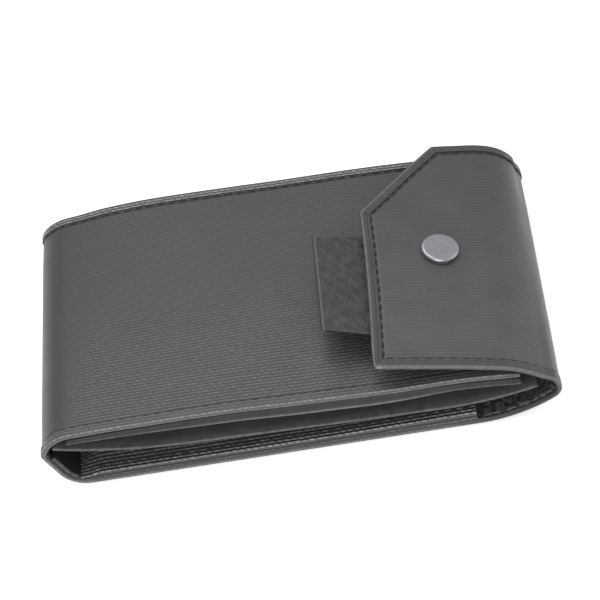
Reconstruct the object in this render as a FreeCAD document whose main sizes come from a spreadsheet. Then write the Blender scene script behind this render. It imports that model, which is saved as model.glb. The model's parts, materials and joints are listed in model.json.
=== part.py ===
"""Passport holder wallet: one long tarpaulin strip folded into a front cover, a spine, a back
panel and a flap that wraps round the right end and snaps shut on the cover.

Frame: millimetres, +X along the long side away from the spine, +Y across the width away from
the edge that shows the open pockets, +Z up. The origin is the middle of the face it lies on.

Most pieces are bands: a path in the XZ plane is offset by the piece's depth under the outer
face, thickened, run across the width and trimmed by a plain prism. Paths run clockwise round
the wallet, so that its inside is on their right.
"""

import FreeCAD, Part
import math
import os
import re

import Sketcher

DIMENSIONS = [
    ("width", 100.0, "across the wallet, edge to edge"),
    ("skin", 1.2, "tarpaulin"),
    ("tape", 0.4, "one layer of the binding tape round the edges"),
    ("tape_width", 3.3, "how far the binding tape reaches in from the edge"),
    ("gap", 0.05, "air between neighbouring layers"),
    ("seam", 0.1, "air between the two sides of a fold line"),
    ("thread", 0.25, "height of a thread above the tarpaulin"),
    ("thread_width", 0.6, "width of a thread row"),
    ("thread_offset", 0.1, "thread row beside the binding tape"),
    ("spine_x", -83.8, "crease of the spine, where the cover turns"),
    ("spine_z", 16.5, "height of that crease"),
    ("spine_radius", 11.4, "roll between the crease and the cover"),
    ("crown_x", -73.6, "start of the cover's long crown"),
    ("crown_z", 24.4, "height there"),
    ("crown_radius", 914.0, "crown of the cover"),
    ("cover_end_x", 71.9, "free end of the cover, under the flap"),
    ("cover_end_z", 21.6, "height there"),
    ("heel_x", -79.7, "where the spine starts to round into the back"),
    ("heel_z", 6.6, "height there"),
    ("heel_radius", 10.2, "round between spine and back"),
    ("flat_start", -70.3, "start of the flat back"),
    ("flat_end", 55.95, "end of the flat back"),
    ("sweep_x", 81.65, "end of the wide sweep up to the fold"),
    ("sweep_z", 7.75, "height there"),
    ("sweep_radius", 48.6, "wide sweep from the back to the fold"),
    ("nose_x", 83.75, "outermost point of the fold"),
    ("nose_z", 11.55, "height there"),
    ("nose_radius", 4.5, "lower round of the fold"),
    ("hinge_x", 82.5, "where the flap leaves the fold"),
    ("hinge_z", 15.85, "height there"),
    ("hinge_radius", 8.1, "upper round of the fold"),
    ("bend_x", 65.95, "end of the flap's straight part"),
    ("bend_z", 27.35, "height there"),
    ("bend_radius", 25.9, "round from the flap into the fold"),
    ("free_x", 26.3, "free edge of the flap"),
    ("free_z", 35.7, "height there"),
    ("cut_along", 28.5, "leg of the flap's one cut corner along the far edge"),
    ("cut_across", 31.2, "leg of that corner along the free edge"),
    ("board", 0.8, "stiffening board in the cover"),
    ("board_start", -70.0, "end of that board by the spine"),
    ("padding", 2.4, "padded lining under the cover"),
    ("padding_start", -75.0, "end of that lining by the spine"),
    ("leaf", 1.0, "pocket leaf under the lining"),
    ("leaf_start_x", -79.4, "end of the leaf by the spine"),
    ("leaf_start_z", 19.9, "height there"),
    ("leaf_low_x", -48.0, "where the leaf levels out"),
    ("leaf_low_z", 14.4, "height there"),
    ("leaf_start_radius", 110.0, "sag of the leaf by the spine"),
    ("leaf_rise_x", 45.0, "where the leaf starts to rise again"),
    ("leaf_rise_z", 11.8, "height there"),
    ("leaf_end_x", 76.0, "free end of the leaf"),
    ("leaf_end_z", 15.6, "height there"),
    ("leaf_end_radius", 104.0, "rise of the leaf to its end"),
    ("slot_sheet", 0.5, "sheet of one card slot"),
    ("slot_depth", 54.0, "how deep a card goes in"),
    ("slot_step", 14.0, "step between the mouths of the card slots"),
    ("slot_mouth", 50.0, "mouth of the first card slot"),
    ("slot_width", 89.0, "card slot, across the wallet"),
    ("lining", 0.35, "thin textile lining"),
    ("lining_end_x", 77.9, "end of the flap's lining by the fold"),
    ("sleeve_start", -70.0, "closed end of the passport sleeve"),
    ("sleeve_end", 56.0, "mouth of the passport sleeve"),
    ("sleeve_top", 6.0, "top of the passport sleeve"),
    ("sleeve_sheet", 0.9, "panel of the passport sleeve"),
    ("sleeve_inset", 0.6, "how far the sleeve stays inside the width"),
    ("sleeve_seam", 4.6, "width of the sleeve's long seams"),
    ("sleeve_end_seam", 0.8, "width of the sleeve's closed end"),
    ("spine_pad", 1.4, "lining of the spine"),
    ("spine_pad_top_x", -82.8, "upper end of the spine lining"),
    ("spine_pad_top_z", 14.1, "height there"),
    ("spine_pad_low_x", -75.8, "lower end of the spine lining"),
    ("spine_pad_low_z", 1.95, "height there"),
    ("fold_tape", 1.0, "woven tape inside the fold"),
    ("fold_tape_start", 58.0, "inner end of the woven tape"),
    ("fold_tape_start_z", 0.45, "height there"),
    ("fold_tape_inset", 1.0, "how far the woven tape stays inside the width"),
    ("tab", 1.5, "pull tab"),
    ("tab_end_x", 11.6, "free end of the pull tab"),
    ("tab_end_z", 36.6, "height there"),
    ("tab_root_x", 33.0, "end of the pull tab under the flap"),
    ("tab_root_z", 32.1, "height there"),
    ("tab_radius", 150.0, "slight droop of the pull tab"),
    ("tab_near", 33.0, "near side of the pull tab, from the middle"),
    ("tab_far", 9.4, "far side of the pull tab, from the middle"),
    ("snap_x", 52.3, "snap cap on the flap"),
    ("cap_radius", 6.25, "snap cap"),
    ("cap_height", 2.2, "snap cap"),
    ("cap_round", 0.85, "round of the cap's rim"),
    ("cap_post", 1.5, "radius of the post under the cap"),
    ("socket_radius", 5.5, "snap socket"),
    ("socket_height", 2.6, "snap socket"),
    ("socket_wall", 0.8, "top wall of the socket"),
    ("socket_bore", 3.5, "radius of the mouth of the socket"),
    ("socket_groove", 4.4, "radius of the groove for the ring spring"),
    ("groove_low", 0.7, "groove above the mouth"),
    ("groove_height", 0.9, "height of that groove"),
    ("spring_radius", 3.95, "ring spring, to the middle of its wire"),
    ("spring_wire", 0.3, "radius of that wire"),
    ("stud_x", 51.2, "snap stud on the cover"),
    ("stud_flange", 4.5, "radius of the stud's flange"),
    ("stud_flange_height", 0.6, "stud's flange"),
    ("stud_head", 2.5, "radius of the stud's head"),
    ("stud_neck", 2.2, "radius of the stud's neck"),
    ("stud_neck_top", 2.3, "top of that neck above the cover"),
    ("stud_height", 3.8, "top of the stud above the cover"),
    ("stud_hollow", 1.4, "radius of the hollow in the stud"),
    ("stud_hollow_top", 2.7, "top of that hollow above the cover"),
    ("post_radius", 1.3, "shank that holds the stud"),
    ("post_top", 2.5, "top of that shank above the cover"),
    ("post_head", 4.0, "radius of the shank's head inside the cover"),
    ("post_head_height", 0.5, "that head"),
    ("post_hole", 1.5, "radius of the hole in the cover for the shank"),
    ("board_hole", 5.0, "radius of the hole in the board for the shank's head"),
    ("pin_reach", 4.0, "how far a hole's cutter runs to each side of the sheet"),
    ("metal_round", 0.5, "rounded rim of the stud and the socket"),
    ("stud_slope", 0.3, "height of the slope from the stud's neck to its head"),
]

FAR = 200.0  # past every side of the wallet
FLOOR = -5.0  # below the wallet
CEILING = 60.0  # above the wallet

doc = FreeCAD.newDocument("passport_wallet")
sheet = doc.addObject("Spreadsheet::Sheet", "Sheet")
for row, (alias, value, note) in enumerate(DIMENSIONS, start=1):
    sheet.set(f"A{row}", note)
    sheet.set(f"B{row}", str(value))
    sheet.setAlias(f"B{row}", alias)
doc.recompute()

ALIASES = {alias for alias, _, _ in DIMENSIONS}
NODES = []  # every sub-part, in the order it is made
INWARD = {}  # path name to the sign of an offset towards the inside of the wallet


def dim(expression):
    """Turns words from the sheet, such as 'width / 2', into an expression that a property takes."""
    return re.sub(r"[a-z]\w*", sheet_word, str(expression))


def sheet_word(match):
    word = match.group()
    return f"Sheet.{word}" if word in ALIASES else word


def value_of(expression):
    """The number that an expression from the sheet stands for."""
    return float(sheet.evalExpression(dim(expression)))


def bind(thing, **bindings):
    """Binds properties to the sheet; a double underscore in a name stands for a dot."""
    for name, expression in bindings.items():
        thing.setExpression(name.replace("__", "."), dim(expression))
    return thing


def keep(thing, label):
    """Names a finished sub-part."""
    thing.Label = label
    NODES.append(thing)
    return thing


# --- sketches -----------------------------------------------------------------------------


def arc_between(start, end, radius):
    """The short clockwise arc (radius > 0) or anticlockwise arc (radius < 0) between two points."""
    middle = (start + end) / 2
    chord = end - start
    rise = math.sqrt(max(radius * radius - chord.Length * chord.Length / 4, 0.0))
    side = FreeCAD.Vector(chord.y, -chord.x, 0).normalize() * math.copysign(rise, radius)
    centre = middle + side
    first, last = (end, start) if radius > 0 else (start, end)
    angles = [math.atan2(p.y - centre.y, p.x - centre.x) for p in (first, last)]
    circle = Part.Circle(centre, FreeCAD.Vector(0, 0, 1), abs(radius))
    return Part.ArcOfCircle(circle, angles[0], angles[1])


def draw(sketch, corners, closed, smooth=()):
    """Draws corners (x, y, radius of the stretch that follows, or None for a straight one)
    and ties every corner to the sheet. The outline runs through the corners numbered in smooth
    without a kink, so each of those settles the radius of one arc beside it: the sheet's value
    is only where that arc starts. Every other radius is tied to the sheet."""
    settled = {corner - 1 if corners[corner - 1][2] is not None else corner for corner in smooth}
    points = [FreeCAD.Vector(value_of(x), value_of(y), 0) for x, y, _ in corners]
    count = len(corners) if closed else len(corners) - 1
    ends = []
    for i in range(count):
        start, end = points[i], points[(i + 1) % len(points)]
        radius = corners[i][2]
        if radius is None:
            line = sketch.addGeometry(Part.LineSegment(start, end))
            ends.append((line, 1, 2))
            continue
        size = value_of(radius)
        arc = sketch.addGeometry(arc_between(start, end, size))
        ends.append((arc, 2, 1) if size > 0 else (arc, 1, 2))
        if i not in settled:
            tie(sketch, Sketcher.Constraint("Radius", arc, abs(size)), f"abs({radius})")
    for i, (item, first, _) in enumerate(ends):
        tie_corner(sketch, item, first, corners[i])
        if i > 0 or closed:
            before, _, last = ends[i - 1]
            joint = "Tangent" if i in smooth else "Coincident"
            sketch.addConstraint(Sketcher.Constraint(joint, before, last, item, first))
    if not closed:
        item, _, last = ends[-1]
        tie_corner(sketch, item, last, corners[-1])
    return sketch


def tie(sketch, constraint, expression):
    index = sketch.addConstraint(constraint)
    sketch.setExpression(f"Constraints[{index}]", dim(expression))


def tie_corner(sketch, item, point, corner):
    for kind, expression in (("DistanceX", corner[0]), ("DistanceY", corner[1])):
        size = value_of(expression)
        tie(sketch, Sketcher.Constraint(kind, item, point, size), expression)


def path(label, corners, smooth):
    """An open path in the XZ plane. An open sketch is walked in the sense of its first curve,
    and a clockwise arc's own sense is anticlockwise, so it decides the sign of an offset."""
    sketch = doc.addObject("Sketcher::SketchObject", label)
    upright = FreeCAD.Rotation(FreeCAD.Vector(1, 0, 0), 90)
    sketch.Placement = FreeCAD.Placement(FreeCAD.Vector(), upright)
    first_radius = corners[0][2]
    clockwise = first_radius is not None and value_of(first_radius) > 0
    INWARD[sketch.Name] = "" if clockwise else "0 - "
    return draw(sketch, corners, closed=False, smooth=smooth)


# --- bands, prisms and cuts ---------------------------------------------------------------


def band(label, along, depth, thickness, near="width / 2", far="width / 2"):
    """A sheet that follows a path: its outer face is depth inside the path."""
    sign = INWARD[along.Name]
    base = along
    if depth != "0":
        base = doc.addObject("Part::Offset2D", f"{label}_face")
        base.Source = along
        base.Mode = "Skin"
        base.Join = "Arc"
        bind(base, Value=f"{sign}({depth})")
    section = doc.addObject("Part::Offset2D", f"{label}_section")
    section.Source = base
    section.Mode = "Skin"
    section.Fill = True
    bind(section, Value=f"{sign}({thickness})")
    solid = doc.addObject("Part::Extrusion", f"{label}_band")
    solid.Base = section
    solid.DirMode = "Custom"
    solid.Dir = FreeCAD.Vector(0, 1, 0)
    solid.Solid = True
    return bind(solid, LengthFwd=far, LengthRev=near)


def prism(label, corners, low, high):
    """An upright prism over a closed outline in the XY plane."""
    sketch = doc.addObject("Sketcher::SketchObject", f"{label}_outline")
    draw(sketch, corners, closed=True)
    solid = doc.addObject("Part::Extrusion", f"{label}_prism")
    solid.Base = sketch
    solid.DirMode = "Custom"
    solid.Dir = FreeCAD.Vector(0, 0, 1)
    solid.Solid = True
    return bind(solid, LengthFwd=high, LengthRev=f"0 - ({low})")


def box_prism(label, left, right, inset, low=FLOOR, high=CEILING):
    """A prism from left to right that stays inset from both long edges."""
    side = f"(width / 2 - {inset})"
    corners = [
        (left, f"0 - {side}", None),
        (right, f"0 - {side}", None),
        (right, side, None),
        (left, side, None),
    ]
    return prism(label, corners, low, high)


def cut(label, base, tool):
    thing = doc.addObject("Part::Cut", label)
    thing.Base = base
    thing.Tool = tool
    return thing


def common(label, base, tool):
    thing = doc.addObject("Part::Common", label)
    thing.Base = base
    thing.Tool = tool
    return thing


def block(label, left, right, half_width, low, high):
    """A plain block, even about the middle of the width."""
    solid = doc.addObject("Part::Box", label)
    bind(solid, Length=f"{right} - ({left})", Width=f"2 * ({half_width})")
    bind(solid, Height=f"{high} - ({low})", Placement__Base__x=left)
    return bind(solid, Placement__Base__y=f"0 - ({half_width})", Placement__Base__z=low)


ROW_INSET = "(tape_width + thread_offset)"


def bound_sheet(name, along, outline):
    """A tarpaulin sheet with binding tape folded over its edges and a thread row beside the
    tape. outline(label, inset) gives the prism that lies inset from the sheet's edges."""
    edge = "(tape + gap)"
    sheet_band = band(f"{name}_shell", along, "0", "skin")
    shell = common(f"{name}_shell", sheet_band, outline(f"{name}_shell", edge))
    whole = band(f"{name}_binding", along, "0 - tape", "skin + 2 * tape")
    folded = common(f"{name}_binding_folded", whole, outline(f"{name}_edge", "0"))
    rim = cut(f"{name}_binding_rim", folded, outline(f"{name}_window", "tape_width"))
    room = band(f"{name}_binding_room", along, "0 - gap", "skin + 2 * gap")
    slot = common(f"{name}_binding_slot", room, outline(f"{name}_slot", "tape"))
    binding = cut(f"{name}_binding", rim, slot)
    row = band(f"{name}_thread", along, "0 - thread - gap", "thread")
    outer = common(f"{name}_thread_outer", row, outline(f"{name}_row_out", ROW_INSET))
    inner = outline(f"{name}_row_in", f"({ROW_INSET} + thread_width)")
    thread = cut(f"{name}_stitching", outer, inner)
    return shell, binding, thread


# --- round hardware -----------------------------------------------------------------------


def plane_of(body, role):
    return next(f for f in body.Origin.OriginFeatures if f.Role == role)


def turned(label, corners):
    """A body of revolution about its own Z: corners are (radius, height, arc radius)."""
    body = doc.addObject("PartDesign::Body", label)
    sketch = body.newObject("Sketcher::SketchObject", f"{label}_profile")
    sketch.AttachmentSupport = [(plane_of(body, "XZ_Plane"), "")]
    sketch.MapMode = "FlatFace"
    doc.recompute()
    draw(sketch, corners, closed=True)
    turn = body.newObject("PartDesign::Revolution", f"{label}_turn")
    turn.Profile = sketch
    turn.ReferenceAxis = (sketch, ["V_Axis"])
    turn.Angle = 360
    body.Tip = turn
    return body


def place(thing, x, z, tilt):
    """Puts a piece at (x, 0, z), leaning by tilt degrees towards +X."""
    thing.Placement = FreeCAD.Placement(
        FreeCAD.Vector(), FreeCAD.Rotation(FreeCAD.Vector(0, 1, 0), 1)
    )
    bind(thing, Placement__Base__x=x, Placement__Base__z=z)
    return bind(thing, Placement__Rotation__Angle=tilt)


def pin_cutter(label, radius, spot):
    """A long cylinder on a snap's axis, to cut its hole."""
    pin = doc.addObject("Part::Cylinder", label)
    x, z, tilt = spot
    bind(pin, Radius=radius, Height="2 * pin_reach")
    return place(pin, f"{x} - pin_reach * sin( {tilt} )", f"{z} - pin_reach * cos( {tilt} )", tilt)


# Where the flap's snap sits: on the flap's straight part.
FLAP_SLOPE = "( ( free_z - bend_z ) / ( bend_x - free_x ) )"
SNAP_SPOT = (
    "snap_x",
    f"( free_z - ( snap_x - free_x ) * {FLAP_SLOPE} )",
    f"( atan( {FLAP_SLOPE} ) / 1deg )",
)

# Where the cover's stud sits: on the crown, which is one arc between two known points.
RUN = "( cover_end_x - crown_x )"
FALL = "( cover_end_z - crown_z )"
CHORD = f"sqrt( {RUN} * {RUN} + {FALL} * {FALL} )"
DROP = f"sqrt( crown_radius * crown_radius - {CHORD} * {CHORD} / 4 )"
CROWN_X = f"( ( cover_end_x + crown_x ) / 2 + {DROP} * {FALL} / {CHORD} )"
CROWN_Z = f"( ( cover_end_z + crown_z ) / 2 - {DROP} * {RUN} / {CHORD} )"
AWAY = f"( stud_x - {CROWN_X} )"
STUD_SPOT = (
    "stud_x",
    f"( {CROWN_Z} + sqrt( crown_radius * crown_radius - {AWAY} * {AWAY} ) )",
    f"( asin( {AWAY} / crown_radius ) / 1deg )",
)


# --- the paths ----------------------------------------------------------------------------

cover_path = path(
    "cover_path",
    [
        ("spine_x", "spine_z", "spine_radius"),
        ("crown_x", "crown_z", "crown_radius"),
        ("cover_end_x", "cover_end_z", None),
    ],
    smooth=[1],
)
flap_path = path(
    "flap_path",
    [
        ("free_x", "free_z", None),
        ("bend_x", "bend_z", "bend_radius"),
        ("hinge_x - seam / 2", "hinge_z + seam", None),
    ],
    smooth=[1],
)
back_path = path(
    "back_path",
    [
        ("hinge_x", "hinge_z", "hinge_radius"),
        ("nose_x", "nose_z", "nose_radius"),
        ("sweep_x", "sweep_z", "sweep_radius"),
        ("flat_end", "tape", None),
        ("flat_start", "tape", "heel_radius"),
        ("heel_x", "heel_z", None),
        ("spine_x", "spine_z", None),
    ],
    smooth=[1, 2, 3, 4],
)
leaf_path = path(
    "leaf_path",
    [
        ("leaf_start_x", "leaf_start_z", "0 - leaf_start_radius"),
        ("leaf_low_x", "leaf_low_z", None),
        ("leaf_rise_x", "leaf_rise_z", "0 - leaf_end_radius"),
        ("leaf_end_x", "leaf_end_z", None),
    ],
    smooth=[1, 2],
)
spine_path = path(
    "spine_path",
    [
        ("spine_pad_low_x", "spine_pad_low_z", "heel_radius"),
        ("heel_x", "heel_z", None),
        ("spine_pad_top_x", "spine_pad_top_z", None),
    ],
    smooth=[1],
)
fold_path = path(
    "fold_path",
    [
        ("nose_x", "nose_z", "nose_radius"),
        ("sweep_x", "sweep_z", "sweep_radius"),
        ("fold_tape_start", "fold_tape_start_z", None),
    ],
    smooth=[1],
)
tab_path = path(
    "tab_path",
    [
        ("tab_end_x", "tab_end_z", "tab_radius"),
        ("tab_root_x", "tab_root_z", None),
    ],
    smooth=[],
)


# --- the back, which is the base of the wallet --------------------------------------------


def back_outline(label, inset):
    return box_prism(label, -FAR, FAR, inset, FLOOR, "spine_z - seam / 2")


shell, binding, thread = bound_sheet("back", back_path, back_outline)
keep(shell, "back_shell")
keep(binding, "back_binding")
keep(thread, "back_stitching")

INSIDE = "(skin + tape + gap)"  # depth of the first layer inside the binding
keep(band("spine_lining", spine_path, f"({INSIDE} + tape)", "spine_pad"), "spine_lining")
TAPE_SIDE = "width / 2 - fold_tape_inset"
fold = band("fold_tape", fold_path, INSIDE, "fold_tape", TAPE_SIDE, TAPE_SIDE)
keep(fold, "fold_tape")

LINING_TOP = "(tape + skin + gap + lining)"
keep(
    block(
        "back_lining",
        "flat_start",
        "flat_end",
        "(width / 2 - tape_width - gap)",
        "(tape + skin + gap)",
        LINING_TOP,
    ),
    "back_lining",
)
SLEEVE_SIDE = "(width / 2 - sleeve_inset)"
SLEEVE_LOW = "(sleeve_top - sleeve_sheet)"
sleeve = block(
    "passport_sleeve", "sleeve_start", "sleeve_end", SLEEVE_SIDE, SLEEVE_LOW, "sleeve_top"
)
keep(sleeve, "passport_sleeve")
hem_whole = block(
    "sleeve_hem_whole",
    "sleeve_start",
    "sleeve_end",
    SLEEVE_SIDE,
    f"({LINING_TOP} + gap)",
    f"({SLEEVE_LOW} - gap)",
)
hem_room = block(
    "sleeve_hem_room",
    "(sleeve_start + sleeve_end_seam)",
    "(sleeve_end + skin)",
    f"({SLEEVE_SIDE} - sleeve_seam)",
    LINING_TOP,
    SLEEVE_LOW,
)
keep(cut("sleeve_hem", hem_whole, hem_room), "sleeve_hem")

row_whole = block(
    "sleeve_row_whole",
    "(sleeve_start + skin)",
    "(sleeve_end - skin)",
    f"({SLEEVE_SIDE} - sleeve_seam / 2)",
    "(sleeve_top + gap)",
    "(sleeve_top + gap + thread)",
)
row_room = block(
    "sleeve_row_room",
    "sleeve_start",
    "sleeve_end",
    f"({SLEEVE_SIDE} - sleeve_seam / 2 - thread_width)",
    "sleeve_top",
    "(sleeve_top + 1)",
)
keep(cut("sleeve_stitching", row_whole, row_room), "sleeve_stitching")


# --- the front cover ----------------------------------------------------------------------


def cover_outline(label, inset):
    right = f"(cover_end_x - {inset})"
    return box_prism(label, -FAR, right, inset, "spine_z + seam / 2", CEILING)


shell, binding, thread = bound_sheet("cover", cover_path, cover_outline)
shell.Label = "cover_shell_blank"
cover_pin = pin_cutter("cover_hole", "post_hole", STUD_SPOT)
keep(cut("cover_shell_holed", shell, cover_pin), "cover_shell")
keep(binding, "cover_binding")
keep(thread, "cover_stitching")

BOARD_DEPTH = "(skin + gap)"
board_band = band("cover_board", cover_path, BOARD_DEPTH, "board")
board_limits = box_prism(
    "cover_board", "board_start", "(cover_end_x - tape_width - gap)", "(tape_width + gap)"
)
board_blank = common("cover_board_blank", board_band, board_limits)
board_pin = pin_cutter("board_hole", "board_hole", STUD_SPOT)
keep(cut("cover_board_holed", board_blank, board_pin), "cover_stiffener")

LINING_DEPTH = "(skin + gap + board + gap)"
lining_band = band("cover_lining", cover_path, LINING_DEPTH, "padding")
lining_limits = box_prism("cover_lining", "padding_start", FAR, "(2 * tape)")
keep(common("cover_lining_trimmed", lining_band, lining_limits), "cover_lining")

LEAF_SIDE = "width / 2 - tape"
keep(band("note_pocket", leaf_path, "0", "leaf", LEAF_SIDE, LEAF_SIDE), "note_pocket")

for number in range(3):
    slot_name = f"card_slot_{number + 1}"
    depth = f"(leaf + gap + {number} * (slot_sheet + 2 * gap))"
    mouth = f"(slot_mouth - {number} * slot_step)"
    slot_band = band(slot_name, leaf_path, depth, "slot_sheet")
    slot_limits = box_prism(
        slot_name, f"({mouth} - slot_depth)", mouth, "((width - slot_width) / 2)"
    )
    keep(common(f"{slot_name}_trimmed", slot_band, slot_limits), slot_name)

stud = turned(
    "snap_stud",
    [
        ("stud_hollow", "gap", None),
        ("stud_flange", "gap", None),
        ("stud_flange", "gap + stud_flange_height", None),
        ("stud_neck", "gap + stud_flange_height", None),
        ("stud_neck", "stud_neck_top", None),
        ("stud_head", "stud_neck_top + stud_slope", None),
        ("stud_head", "stud_height - metal_round", "0 - metal_round"),
        ("stud_head - metal_round", "stud_height", None),
        ("0", "stud_height", None),
        ("0", "stud_hollow_top", None),
        ("stud_hollow", "stud_hollow_top", None),
    ],
)
keep(place(stud, *STUD_SPOT), "snap_stud")
post = turned(
    "snap_post",
    [
        ("0", "0 - skin - gap - post_head_height", None),
        ("post_head", "0 - skin - gap - post_head_height", None),
        ("post_head", "0 - skin - gap", None),
        ("post_radius", "0 - skin - gap", None),
        ("post_radius", "post_top", None),
        ("0", "post_top", None),
    ],
)
keep(place(post, *STUD_SPOT), "snap_post")


# --- the flap -----------------------------------------------------------------------------


def flap_outline(label, inset):
    """The flap seen from above, with its one cut corner, inset from every edge."""
    side = f"(width / 2 - {inset})"
    left = f"(free_x + {inset})"
    slant = "sqrt(1 / cut_along ^ 2 + 1 / cut_across ^ 2)"
    corners = [
        (left, f"0 - {side}", None),
        (FAR, f"0 - {side}", None),
        (FAR, side, None),
        (f"free_x + cut_along * (1 + {inset} * ({slant} - 1 / cut_across))", side, None),
        (left, f"width / 2 - cut_across * (1 + {inset} * ({slant} - 1 / cut_along))", None),
    ]
    return prism(label, corners, FLOOR, CEILING)


shell, binding, thread = bound_sheet("flap", flap_path, flap_outline)
shell.Label = "flap_shell_blank"
flap_pin = pin_cutter("flap_hole", "cap_post + gap", SNAP_SPOT)
keep(cut("flap_shell_holed", shell, flap_pin), "flap_shell")
keep(binding, "flap_binding")
keep(thread, "flap_stitching")

flap_lining_band = band("flap_lining", flap_path, "(skin + gap)", "lining")
flap_lining_blank = common(
    "flap_lining_blank", flap_lining_band, flap_outline("flap_lining", "(tape_width + gap)")
)
lining_limit = box_prism("flap_lining_end", -FAR, "lining_end_x", "0")
flap_lining_short = common("flap_lining_short", flap_lining_blank, lining_limit)
lining_pin = pin_cutter("flap_lining_hole", "cap_post + gap", SNAP_SPOT)
keep(cut("flap_lining_holed", flap_lining_short, lining_pin), "flap_lining")

keep(band("pull_tab", tab_path, "0", "tab", "tab_near", "tab_far"), "pull_tab")

cap = turned(
    "snap_cap",
    [
        ("0", "0 - skin - lining - socket_wall - 3 * gap", None),
        ("cap_post", "0 - skin - lining - socket_wall - 3 * gap", None),
        ("cap_post", "gap", None),
        ("cap_radius - cap_round / 2", "gap", "0 - cap_round / 2"),
        ("cap_radius", "gap + cap_round / 2", None),
        ("cap_radius", "cap_height - cap_round", "0 - cap_round"),
        ("cap_radius - cap_round", "cap_height", None),
        ("0", "cap_height", None),
    ],
)
keep(place(cap, *SNAP_SPOT), "snap_cap")
SOCKET_TOP = "(0 - skin - lining - 2 * gap)"
SOCKET_MOUTH = f"({SOCKET_TOP} - socket_height)"
GROOVE_LOW = f"({SOCKET_MOUTH} + groove_low)"
socket = turned(
    "snap_socket",
    [
        ("cap_post + gap", SOCKET_TOP, None),
        ("cap_post + gap", f"{SOCKET_TOP} - socket_wall", None),
        ("socket_bore", f"{SOCKET_TOP} - socket_wall", None),
        ("socket_bore", f"{GROOVE_LOW} + groove_height", None),
        ("socket_groove", f"{GROOVE_LOW} + groove_height", None),
        ("socket_groove", GROOVE_LOW, None),
        ("socket_bore", GROOVE_LOW, None),
        ("socket_bore", SOCKET_MOUTH, None),
        ("socket_radius - metal_round", SOCKET_MOUTH, "0 - metal_round"),
        ("socket_radius", f"{SOCKET_MOUTH} + metal_round", None),
        ("socket_radius", SOCKET_TOP, None),
    ],
)
keep(place(socket, *SNAP_SPOT), "snap_socket")
ring = doc.addObject("Part::Torus", "snap_spring_ring")
bind(ring, Radius1="spring_radius", Radius2="spring_wire")
RING_DEPTH = f"({GROOVE_LOW} + groove_height / 2)"
snap_x, snap_z, snap_tilt = SNAP_SPOT
place(
    ring,
    f"{snap_x} + {RING_DEPTH} * sin( {snap_tilt} )",
    f"{snap_z} + {RING_DEPTH} * cos( {snap_tilt} )",
    snap_tilt,
)
keep(ring, "snap_spring")


# --- recompute, check and write -----------------------------------------------------------

doc.recompute()
for thing in doc.Objects:
    if "Invalid" in thing.State or "Error" in thing.State:
        raise RuntimeError(f"{thing.Label} did not compute: {thing.State}")
for node in NODES:
    if node.Shape.isNull() or not node.Shape.isValid() or not node.Shape.Solids:
        raise RuntimeError(f"{node.Label} has no sound solid")

os.makedirs("parts", exist_ok=True)
for node in NODES:
    node.Shape.exportStep(os.path.join("parts", f"{node.Label}.step"))
    box = node.Shape.BoundBox
    print(
        f"{node.Label:18s} solids {len(node.Shape.Solids)}  volume {node.Shape.Volume:9.1f}  "
        f"x {box.XMin:7.2f} {box.XMax:7.2f}  y {box.YMin:7.2f} {box.YMax:7.2f}  "
        f"z {box.ZMin:6.2f} {box.ZMax:6.2f}"
    )
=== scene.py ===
"""Looks of a passport holder wallet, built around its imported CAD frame.

Lengths are millimetres here and become metres only when a mesh is made. The wallet's outer
fabric is one long strip. Its side view is walked clockwise: from the free edge of the flap,
round the fold, along the back, up the spine and along the cover to its free end. A spot on the
strip is (along, across, lift): how far along that walk, how far across the wallet, and how far
above the fabric's outer face.
"""

import json
import math
import random
from collections import namedtuple

import bmesh
import bpy
import numpy as np
from mathutils import Matrix, Vector


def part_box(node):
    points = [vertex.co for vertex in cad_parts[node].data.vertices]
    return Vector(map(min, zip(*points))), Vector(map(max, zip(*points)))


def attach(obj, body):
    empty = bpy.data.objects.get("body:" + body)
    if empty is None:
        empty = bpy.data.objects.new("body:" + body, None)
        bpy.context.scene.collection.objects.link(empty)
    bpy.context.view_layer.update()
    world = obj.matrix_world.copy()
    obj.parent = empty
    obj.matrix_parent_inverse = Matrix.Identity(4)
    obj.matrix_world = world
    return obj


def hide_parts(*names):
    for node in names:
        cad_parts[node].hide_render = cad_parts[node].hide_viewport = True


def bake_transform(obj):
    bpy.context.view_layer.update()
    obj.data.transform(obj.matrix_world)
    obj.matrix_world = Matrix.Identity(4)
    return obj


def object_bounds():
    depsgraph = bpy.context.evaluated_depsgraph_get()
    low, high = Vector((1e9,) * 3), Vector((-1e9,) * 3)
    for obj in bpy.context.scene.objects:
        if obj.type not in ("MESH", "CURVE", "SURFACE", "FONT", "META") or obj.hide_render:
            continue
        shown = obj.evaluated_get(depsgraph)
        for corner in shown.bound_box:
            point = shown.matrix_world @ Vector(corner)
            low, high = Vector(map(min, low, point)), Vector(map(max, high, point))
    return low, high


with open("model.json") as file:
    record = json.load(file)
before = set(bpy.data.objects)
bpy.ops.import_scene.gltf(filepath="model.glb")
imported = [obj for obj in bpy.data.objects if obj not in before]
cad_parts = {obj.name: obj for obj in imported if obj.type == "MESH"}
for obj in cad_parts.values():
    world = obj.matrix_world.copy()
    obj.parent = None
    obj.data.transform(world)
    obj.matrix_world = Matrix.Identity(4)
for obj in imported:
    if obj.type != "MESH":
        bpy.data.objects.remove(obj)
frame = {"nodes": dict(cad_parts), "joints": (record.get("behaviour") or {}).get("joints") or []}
cad_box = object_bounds()
random.seed(7)

MM = 0.001
CENTRE = np.array([0.0, 6.0])  # a spot inside every ring of layers, seen from the side (x, z)
SHARP_CORNER = math.radians(50)  # a side view turns this much only at the ends of a layer


# --- sizes read from the frame ---


def box(node):
    """Lowest and highest corner of a CAD node in mm."""
    low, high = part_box(node)
    return np.array(low) / MM, np.array(high) / MM


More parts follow.
